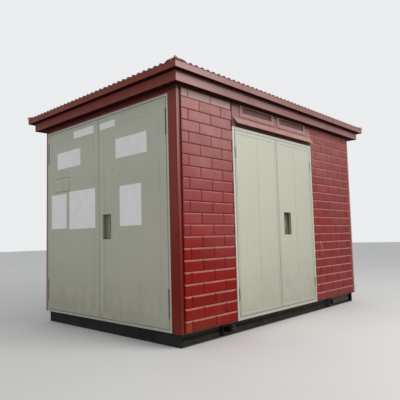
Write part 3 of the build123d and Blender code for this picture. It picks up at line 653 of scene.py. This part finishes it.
dress(innerPaint, "ceiling_panel")
dress(roofPaint, "roof_front", "roof_back", "roof_left", "roof_right", "roof_caps")
print("kiosk: CAD pieces dressed")


def newTree(name, inputs):
    tree = bpy.data.node_groups.new(name, "GeometryNodeTree")
    tree.interface.new_socket(name="Geometry", in_out="OUTPUT", socket_type="NodeSocketGeometry")
    for kind, labels in inputs.items():
        for label in labels:
            tree.interface.new_socket(name=label, in_out="INPUT", socket_type="NodeSocket" + kind)
    entry = tree.nodes.new("NodeGroupInput")
    return tree, entry.outputs, tree.nodes.new("NodeGroupOutput")


def putIn(name, data):
    made = bpy.data.objects.new(name, data)
    bpy.context.scene.collection.objects.link(made)
    return made


def meshPiece(name, vertices, faces, material):
    mesh = bpy.data.meshes.new(name)
    mesh.from_pydata(vertices, [], faces)
    mesh.materials.append(material)
    mesh.validate()
    mesh.update()
    return putIn(name, mesh)


def growPiece(tree, name, values, material):
    # runs the tree on an empty mesh and keeps the result as a plain mesh
    holder = putIn("growing", bpy.data.meshes.new("growing"))
    modifier = holder.modifiers.new("grow", "NODES")
    modifier.node_group = tree
    for item in tree.interface.items_tree:
        if item.item_type == "SOCKET" and item.in_out == "INPUT":
            value = material if item.name == "Material" else values[item.name]
            if item.socket_type == "NodeSocketVector":
                value = [float(part) for part in value]
            modifier[item.identifier] = value
    evaluated = holder.evaluated_get(bpy.context.evaluated_depsgraph_get())
    mesh = bpy.data.meshes.new_from_object(evaluated)
    holder.modifiers.clear()
    bpy.data.objects.remove(holder)
    mesh.name = name
    return putIn(name, mesh)


def closeTree(exit, geometry, material, flat=True):
    real = make("GeometryNodeRealizeInstances", {"Geometry": geometry})
    shading = {"Geometry": real, "Shade Smooth": not flat}
    shaded = make("GeometryNodeSetShadeSmooth", shading)
    painted = make("GeometryNodeSetMaterial", {"Geometry": shaded, "Material": material})
    feed(exit, {0: painted})


def pointAt(x, y, z):
    return make("ShaderNodeCombineXYZ", {0: x, 1: y, 2: z})


def ownPlace(tree):
    position = tree.nodes.new("GeometryNodeInputPosition").outputs[0]
    return addNode(tree, "ShaderNodeSeparateXYZ", {0: position}).outputs


def moveAndTurn(geometry, place, turn):
    shaped = make("GeometryNodeSetPosition", {"Geometry": geometry, "Position": place})
    turning = {"Geometry": shaped, "Rotation": pointAt(0.0, 0.0, turn)}
    return make("GeometryNodeTransform", turning)


brickWork = {
    "Pitch": 0.3135, "Course": 0.106, "First Course": 0.105, "Rows": 21, "Columns": 13,
    "Joint": 0.006, "Rise": 0.006, "Bevel": 0.0058, "Sink": 0.001, "Seed": 11,
}
brickShape = {
    # smallest brick that is kept, cells across a brick, how far its shoulder stands out
    "smallest": 0.014, "cells": 5, "shoulder": 0.72,
    # how far the bricks stay from the panel's sides, foot and top, and where both courses start
    "sideGap": 0.003, "footGap": 0.002, "topGap": 0.001, "phases": (0.146, 0.3),
}


def brickTree():
    tree, given, exit = newTree("pressedBricks", {"Float": [
        "Start", "End", "Bottom", "Top", "Phase A", "Phase B", "Pitch", "Course", "First Course",
        "Joint", "Rise", "Bevel", "Sink", "Face", "Turn",
    ], "Int": ["Rows", "Columns", "Seed"], "Material": ["Material"]})
    total = times(given["Rows"], given["Columns"])
    points = make("GeometryNodePoints", {"Count": total})
    index = tree.nodes.new("GeometryNodeInputIndex").outputs[0]
    row = calc("FLOOR", calc("DIVIDE", plus(index, 0.5), given["Columns"]))
    column = minus(index, times(row, given["Columns"]))

    # courses: the lowest one starts at the wall's foot, the uppermost one ends at its top
    lower = plus(given["First Course"], times(given["Course"], minus(row, 1.0)))
    upper = plus(lower, given["Course"])
    halfJoint = times(given["Joint"], 0.5)
    bottom = calc("MAXIMUM", plus(lower, halfJoint), given["Bottom"])
    top = calc("MINIMUM", minus(upper, halfJoint), given["Top"])

    # running bond: every other course is shifted
    odd = calc("MODULO", row, 2.0)
    shift = minus(given["Phase B"], given["Phase A"])
    phase = plus(given["Phase A"], times(odd, shift))
    left = plus(phase, times(given["Pitch"], minus(column, 1.0)))
    right = plus(left, given["Pitch"])
    start = calc("MAXIMUM", plus(left, halfJoint), given["Start"])
    end = calc("MINIMUM", minus(right, halfJoint), given["End"])

    sizes = {"brickStart": start, "brickEnd": end, "brickBottom": bottom, "brickTop": top}
    shade = addNode(tree, "FunctionNodeRandomValue", {"Seed": given["Seed"]}, data_type="FLOAT")
    sizes["brickShade"] = [socket for socket in shade.outputs if socket.type == "VALUE" and socket.enabled][0]
    for label, value in sizes.items():
        points = make("GeometryNodeStoreNamedAttribute", {
            "Geometry": points, "Name": label, "Value": value,
        }, data_type="FLOAT", domain="POINT")
    short = calc("LESS_THAN", minus(end, start), brickShape["smallest"])
    low = calc("LESS_THAN", minus(top, bottom), brickShape["smallest"])
    points = make("GeometryNodeDeleteGeometry", {
        "Geometry": points, "Selection": calc("MAXIMUM", short, low),
    }, domain="POINT")

    cells = brickShape["cells"]
    grid = {"Vertices X": cells + 1, "Vertices Y": cells + 1, "Vertices Z": 2}
    block = addNode(tree, "GeometryNodeMeshCube", grid).outputs[0]
    placed = make("GeometryNodeInstanceOnPoints", {"Points": points, "Instance": block})
    loose = make("GeometryNodeRealizeInstances", {"Geometry": placed})

    # the block's vertices are moved to the brick's edges, so every brick has the same bevel
    localX, localY, localZ = ownPlace(tree)

    def named(label):
        return addNode(tree, "GeometryNodeInputNamedAttribute", {"Name": label}, data_type="FLOAT").outputs[0]

    def ring(value):
        # 0 at the edge, 1 on the shoulder, 2 on the face
        fromEdge = minus(0.5, absolute(value))
        return calc("ROUND", times(fromEdge, cells))

    def along(value, first, last, step):
        inset = times(step, given["Bevel"])
        near = plus(first, inset)
        far = minus(last, inset)
        side = calc("GREATER_THAN", value, 0.0)
        return plus(near, times(side, minus(far, near)))

    ringX, ringY = ring(localX), ring(localY)
    newX = along(localX, named("brickStart"), named("brickEnd"), ringX)
    newZ = along(localY, named("brickBottom"), named("brickTop"), ringY)
    lowest = calc("MINIMUM", ringX, ringY)
    onFace = calc("GREATER_THAN", lowest, 1.5)
    swell = calc("MINIMUM", plus(times(lowest, brickShape["shoulder"]), onFace), 1.0)
    outward = times(swell, given["Rise"])
    isFace = calc("GREATER_THAN", localZ, 0.0)
    depth = minus(times(isFace, plus(outward, given["Sink"])), given["Sink"])
    newY = minus(minus(0.0, given["Face"]), depth)
    closeTree(exit, moveAndTurn(loose, pointAt(newX, newY, newZ), given["Turn"]), given["Material"])
    return tree


bricks = brickTree()
wallFace = kiosk["halfWidth"] - kiosk["brickFloor"]
phaseA, phaseB = (phase - kiosk["halfLength"] for phase in brickShape["phases"])
for side in ("left", "right"):
    low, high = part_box("front_brick_wall_" + side)
    for wall in ("front", "back"):
        turned = wall == "back"
        start, end = (-high.x, -low.x) if turned else (low.x, high.x)
        values = {
            **brickWork,
            "Start": start + brickShape["sideGap"], "End": end - brickShape["sideGap"],
            "Bottom": low.z + brickShape["footGap"], "Top": high.z - brickShape["topGap"],
            "First Course": kiosk["wallBottom"] + brickWork["First Course"],
            "Phase A": phaseA, "Phase B": phaseB, "Face": wallFace, "Turn": math.pi if turned else 0.0,
        }
        bricksHere = growPiece(bricks, wall + "_bricks_" + side, values, brickPaint)
        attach(bricksHere, "housing")
        print("kiosk:", bricksHere.name, len(bricksHere.data.polygons), "faces")


roofSheet = {
    "Slope": math.tan(math.radians(8.0)), "Wave": 0.018, "Sheet": 0.0014, "Segments": 14,
}


def corrugatedTree():
    tree, given, exit = newTree("corrugatedSlope", {"Float": [
        "Half Length", "Eave Distance", "Largest Run", "Eave Level", "Slope", "Wave", "Sheet", "Turn",
    ], "Int": ["Waves", "Segments"], "Material": ["Material"]})
    columns = plus(times(given["Waves"], given["Segments"]), 1.0)
    grid = {"Vertices X": columns, "Vertices Y": 5, "Vertices Z": 2}
    slab = addNode(tree, "GeometryNodeMeshCube", grid).outputs[0]
    localX, localY, localZ = ownPlace(tree)
    x = times(localX, times(given["Half Length"], 2.0))
    toHip = minus(given["Half Length"], absolute(x))
    run = times(calc("MINIMUM", toHip, given["Largest Run"]), plus(localY, 0.5))
    y = minus(run, given["Eave Distance"])
    # a valley lies at each hip foot
    fromFoot = plus(localX, 0.5)
    turns = times(fromFoot, given["Waves"], 2.0 * math.pi)
    crest = times(minus(1.0, calc("COSINE", turns)), 0.5)
    wave = times(crest, minus(given["Wave"], given["Sheet"]))
    upper = times(calc("GREATER_THAN", localZ, 0.0), given["Sheet"])
    rise = plus(times(run, given["Slope"]), given["Eave Level"])
    z = plus(rise, wave, upper)
    closeTree(exit, moveAndTurn(slab, pointAt(x, y, z), given["Turn"]), given["Material"], flat=False)
    return tree


corrugation = corrugatedTree()
frontLow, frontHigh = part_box("roof_front")
leftLow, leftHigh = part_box("roof_left")
eaveLevel = frontLow.z
slopes = {
    # half length, eave distance, waves, turn
    "front": (frontHigh.x, -frontLow.y, 50, 0.0),
    "back": (frontHigh.x, -frontLow.y, 50, math.pi),
    "left": (leftHigh.y, -leftLow.x, 35, -math.pi / 2),
    "right": (leftHigh.y, -leftLow.x, 35, math.pi / 2),
}
for side, (half, eave, waves, turn) in slopes.items():
    values = {
        **roofSheet, "Half Length": half, "Eave Distance": eave, "Largest Run": -frontLow.y,
        "Eave Level": eaveLevel, "Turn": turn, "Waves": waves,
    }
    sheet = growPiece(corrugation, "corrugated_roof_" + side, values, roofPaint)
    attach(sheet, "housing")
    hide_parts("roof_" + side)
print("kiosk: corrugated roof laid")


def signFilm(name, look):
    material, shader, where = blankMaterial(name)
    colour = mixColour(cloud(where, "agedFilm"), look["colour"], look["aged"])
    darkening = times(cloud(where, "filmGrime"), look["darkening"])
    feed(shader, {
        "Base Color": mixColour(darkening, colour, look["darkeningColour"]),
        "Roughness": plus(cloud(where, "filmGrain"), look["roughness"]),
        "Normal": bump(noise(where, look["rippleScale"], 2.0), *look["ripple"]),
    })
    return material


whitePlate = signFilm("whitePlate", {
    "colour": (0.91, 0.92, 0.92), "aged": (0.86, 0.86, 0.84),
    "darkening": 0.2, "darkeningColour": (0.38, 0.36, 0.31), "roughness": 0.35,
    "rippleScale": 22.0, "ripple": (0.15, 0.001),
})


def plateMesh(name, corners, face, thickness, radius, material, steps=5):
    # thin plate with round corners and a soft edge, standing on the left end face
    (y0, y1), (z0, z1) = corners
    outline = []
    for cy, cz, begin in ((y1 - radius, z1 - radius, 0), (y0 + radius, z1 - radius, 1),
                          (y0 + radius, z0 + radius, 2), (y1 - radius, z0 + radius, 3)):
        for step in range(steps + 1):
            angle = (begin + step / steps) * math.pi / 2
            outline.append((cy, cz, math.cos(angle), math.sin(angle)))
    rings = ((0.0, 0.0), (thickness * 0.6, 0.0), (thickness, thickness * 0.5))
    vertices, faces = [], []
    for out, inset in rings:
        for cy, cz, dy, dz in outline:
            reach = radius - inset
            vertices.append((face - out, cy + dy * reach, cz + dz * reach))
    count = len(outline)
    for ring in range(len(rings) - 1):
        for i in range(count):
            j = (i + 1) % count
            faces.append((ring * count + i, ring * count + j, (ring + 1) * count + j, (ring + 1) * count + i))
    faces.append(tuple(range((len(rings) - 1) * count, len(rings) * count)))
    faces.append(tuple(reversed(range(count))))
    return meshPiece(name, vertices, faces, material)


endFace = -kiosk["halfLength"]
signs = {
    # name: (body, y range, z range above the wall foot, thickness, corner radius)
    "number_film": ("left_end_left_door", (1.559, 2.055), (1.68, 1.875), 0.0012, 0.004),
    "room_film_left": ("left_end_left_door", (1.295, 1.7), (2.0, 2.085), 0.0012, 0.003),
    "room_film_right": ("left_end_right_door", (0.913, 1.184), (2.003, 2.072), 0.0012, 0.003),
    "owner_film": ("left_end_right_door", (0.418, 0.907), (1.66, 1.862), 0.0012, 0.004),
    "notice_plate_right": ("left_end_right_door", (0.508, 0.845), (0.967, 1.372), 0.002, 0.012),
    "notice_plate_left": ("left_end_left_door", (1.853, 2.187), (0.978, 1.38), 0.002, 0.012),
    "notice_plate_middle": ("left_end_left_door", (1.275, 1.79), (0.965, 1.395), 0.002, 0.012),
}
for name, (body, (y0, y1), (z0, z1), thickness, radius) in signs.items():
    half, foot = kiosk["halfWidth"], kiosk["wallBottom"]
    corners = (y0 - half, y1 - half), (z0 + foot, z1 + foot)
    sign = plateMesh(name, corners, endFace, thickness, radius, whitePlate)
    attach(sign, body)

print("kiosk: plates placed")


screwShape = {
    # sides of the head and its top radius; the washer's sides, radii and height, as parts of the head's
    "sides": 14, "top": 0.62, "washerSides": 18, "washerFoot": 1.7, "washerTop": 1.5, "washerHeight": 0.35,
}


def screwTree():
    # a row of tapered heads, each on its washer
    tree, given, exit = newTree("screwHeads", {
        "Vector": ["Start", "Step", "Turn"], "Float": ["Radius", "Height"],
        "Int": ["Count"], "Material": ["Material"],
    })
    row = make("GeometryNodeMeshLine", {
        "Count": given["Count"], "Start Location": given["Start"], "Offset": given["Step"],
    }, mode="OFFSET")
    head = make("GeometryNodeMeshCone", {
        "Vertices": screwShape["sides"], "Radius Bottom": given["Radius"],
        "Radius Top": times(given["Radius"], screwShape["top"]), "Depth": given["Height"],
    })
    washer = make("GeometryNodeMeshCone", {
        "Vertices": screwShape["washerSides"],
        "Radius Bottom": times(given["Radius"], screwShape["washerFoot"]),
        "Radius Top": times(given["Radius"], screwShape["washerTop"]),
        "Depth": times(given["Height"], screwShape["washerHeight"]),
    })
    both = tree.nodes.new("GeometryNodeJoinGeometry")
    tree.links.new(head, both.inputs[0])
    tree.links.new(washer, both.inputs[0])
    aim = make("FunctionNodeEulerToRotation", {0: given["Turn"]})
    placed = make("GeometryNodeInstanceOnPoints", {
        "Points": row, "Instance": both.outputs[0], "Rotation": aim,
    })
    closeTree(exit, placed, given["Material"])
    return tree


def joinPieces(name, pieces):
    bpy.ops.object.select_all(action="DESELECT")
    for piece in pieces:
        piece.select_set(True)
    bpy.context.view_layer.objects.active = pieces[0]
    if len(pieces) > 1:
        bpy.ops.object.join()
    pieces[0].name = name
    return pieces[0]


def roofScrewRows(look):
    # every third crest is screwed down, in rows parallel to the eaves
    rows = []
    for half, eave, waves, turn in slopes.values():
        pitch = 2 * half / waves
        for run, firstCrest in look["rows"]:
            count = (waves - 1 - 2 * firstCrest) // look["every"] + 1
            rise = run * roofSheet["Slope"] + roofSheet["Wave"] - look["sink"]
            start = Vector((pitch * (firstCrest + 0.5) - half, run - eave, eaveLevel + rise))
            spin = Matrix.Rotation(turn, 3, "Z")
            step = spin @ Vector((look["every"] * pitch, 0.0, 0.0))
            rows.append((spin @ start, step, (look["tilt"], 0.0, turn), count))
    return rows


def plateScrewRow(x, y, turn):
    # two screws, over and under a lock lever
    lower = Vector((x, y, leverPlate["middle"] - leverPlate["reach"]))
    return lower, Vector((0, 0, 2 * leverPlate["reach"])), turn, 2


flapShape = {
    # y range, z range, thickness, corner radius, how deep ribs and screw sink in; then the two ribs
    "along": (0.625, 0.935), "up": (1.526, 1.696), "thickness": 0.0036, "radius": 0.006, "sink": 0.0002,
    "ribs": (1.594, 1.632), "ribHalf": 0.004, "ribInset": 0.03, "ribRise": 0.0014, "ribRadius": 0.003,
}
flapFace = endFace - flapShape["thickness"] + flapShape["sink"]
flapParts = [plateMesh("flap", (flapShape["along"], flapShape["up"]), endFace,
                       flapShape["thickness"], flapShape["radius"], flapPaint)]
for level in flapShape["ribs"]:
    ribSpan = (flapShape["along"][0] + flapShape["ribInset"], flapShape["along"][1] - flapShape["ribInset"])
    ribUp = (level - flapShape["ribHalf"], level + flapShape["ribHalf"])
    flapParts.append(plateMesh("rib", (ribSpan, ribUp), flapFace, flapShape["ribRise"],
                               flapShape["ribRadius"], flapPaint))
flap = joinPieces("inspection_flap", flapParts)
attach(flap, "left_end_left_door")
print("kiosk: ribbed flap placed")

quarter = math.pi / 2
leverPlate = {"middle": 1.09, "reach": 0.062, "frontX": 0.001, "endY": -0.121, "depth": 0.0392}
plateX = kiosk["halfLength"] - leverPlate["depth"]
plateY = kiosk["halfWidth"] - leverPlate["depth"]
roofScrews = {
    # distance from the eave and first crest of each row
    "rows": ((0.1, 5), (0.62, 11), (1.12, 17)), "every": 3, "sink": 0.0006, "tilt": math.radians(8.0),
}
still = Vector((0, 0, 0))
screwSets = {
    # name: (body, head radius, head height, rows)
    "roof_screws": ("housing", 0.0065, 0.005, roofScrewRows(roofScrews)),
    "fixed_lever_screws": ("housing", 0.0034, 0.0022, [
        plateScrewRow(leverPlate["frontX"], plateY, (-quarter, 0.0, 0.0)),
        plateScrewRow(plateX, leverPlate["endY"], (0.0, quarter, 0.0)),
    ]),
    "front_lever_screws": ("front_right_door", 0.0034, 0.0022, [
        plateScrewRow(leverPlate["frontX"], -plateY, (quarter, 0.0, 0.0)),
    ]),
    "left_end_door_screws": ("left_end_right_door", 0.0034, 0.0022, [
        plateScrewRow(-plateX, leverPlate["endY"], (0.0, -quarter, 0.0)),
        (Vector((-kiosk["halfLength"], -0.212, 1.684)), still, (0.0, -quarter, 0.0), 1),
    ]),
    "flap_screw": ("left_end_left_door", 0.0052, 0.003, [
        (Vector((flapFace, 0.762, 1.561)), still, (0.0, -quarter, 0.0), 1),
    ]),
}
screwSteel = rustySteel("screwSteel", {
    "colour": (0.12, 0.115, 0.105), "worn": (0.075, 0.066, 0.056), "bloomScale": 70.0, "bloomFrom": 0.52,
    "roughness": 0.5, "metallic": 0.4,
})
heads = screwTree()
for name, (body, radius, height, rows) in screwSets.items():
    made = []
    for row in rows:
        values = {**dict(zip(("Start", "Step", "Turn", "Count"), row)), "Radius": radius, "Height": height}
        made.append(growPiece(heads, name, values, screwSteel))
    screws = joinPieces(name, made)
    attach(screws, body)
    print("kiosk:", name, len(screws.data.polygons), "faces")


studio = {
    "floorColour": (0.8, 0.8, 0.79), "floorPatch": 0.97, "floorRough": 0.9, "floorReach": 40.0,
    "roomColour": (0.97, 0.98, 1.0, 1.0), "fill": 0.54, "seen": 0.86,
    "keyPlace": (1.0, -7.2, 5.0), "keyAim": (0.0, -1.0, 1.2), "keySize": 4.5, "keyPower": 338.0,
    "keyColour": (1.0, 0.978, 0.948),
}


def makeStudio(look):
    material, shader, where = blankMaterial("paleFloor")
    darker = tuple(part * look["floorPatch"] for part in look["floorColour"])
    colour = mixColour(cloud(where, "floorTone"), look["floorColour"], darker)
    feed(shader, {"Base Color": colour, "Roughness": look["floorRough"]})
    reach = look["floorReach"]
    corners = [(-reach, -reach, 0), (reach, -reach, 0), (reach, reach, 0), (-reach, reach, 0)]
    floor = meshPiece("studio_floor", corners, [(0, 1, 2, 3)], material)

    world = bpy.data.worlds.new("paleRoom")
    bpy.context.scene.world = world
    world.use_nodes = True
    room = world.node_tree
    room.nodes.clear()
    path = room.nodes.new("ShaderNodeLightPath")
    seen = calc("MAXIMUM", path.outputs["Is Camera Ray"], path.outputs["Is Glossy Ray"])
    seen = calc("MAXIMUM", seen, path.outputs["Is Transmission Ray"])
    strength = ramp(seen, 0.0, 1.0, look["fill"], look["seen"], smooth=False)
    back = addNode(room, "ShaderNodeBackground", {"Color": look["roomColour"], "Strength": strength})
    addNode(room, "ShaderNodeOutputWorld", {0: back.outputs[0]})

    lamp = bpy.data.lights.new("softKey", "AREA")
    lamp.shape = "SQUARE"
    lamp.size = look["keySize"]
    lamp.energy = look["keyPower"]
    lamp.color = look["keyColour"]
    key = putIn("softKey", lamp)
    key.location = look["keyPlace"]
    aim = Vector(look["keyAim"]) - Vector(look["keyPlace"])
    key.rotation_euler = aim.to_track_quat("-Z", "Y").to_euler()


makeStudio(studio)

view = {
    "place": (-4.4706, -3.9505, 0.9573), "yaw": 42.8221, "pitch": 4.7578, "roll": -1.4868, "lens": 40.17,
}


def makeCamera(look):
    yaw, pitch, roll = (math.radians(look[key]) for key in ("yaw", "pitch", "roll"))
    ahead = Vector((math.cos(yaw) * math.cos(pitch), math.sin(yaw) * math.cos(pitch), math.sin(pitch)))
    level = ahead.cross(Vector((0, 0, 1))).normalized()
    steep = level.cross(ahead)
    right = level * math.cos(roll) + steep * math.sin(roll)
    up = steep * math.cos(roll) - level * math.sin(roll)
    data = bpy.data.cameras.new("photoCamera")
    data.lens = look["lens"]
    data.sensor_width = 36.0
    data.clip_start = 0.05
    data.clip_end = 200.0
    camera = putIn("photoCamera", data)
    turn = Matrix((right, up, -ahead)).transposed().to_4x4()
    camera.matrix_world = Matrix.Translation(look["place"]) @ turn
    bpy.context.scene.camera = camera


makeCamera(view)
bpy.context.scene.view_settings.view_transform = "Standard"
print("kiosk: studio and camera set")
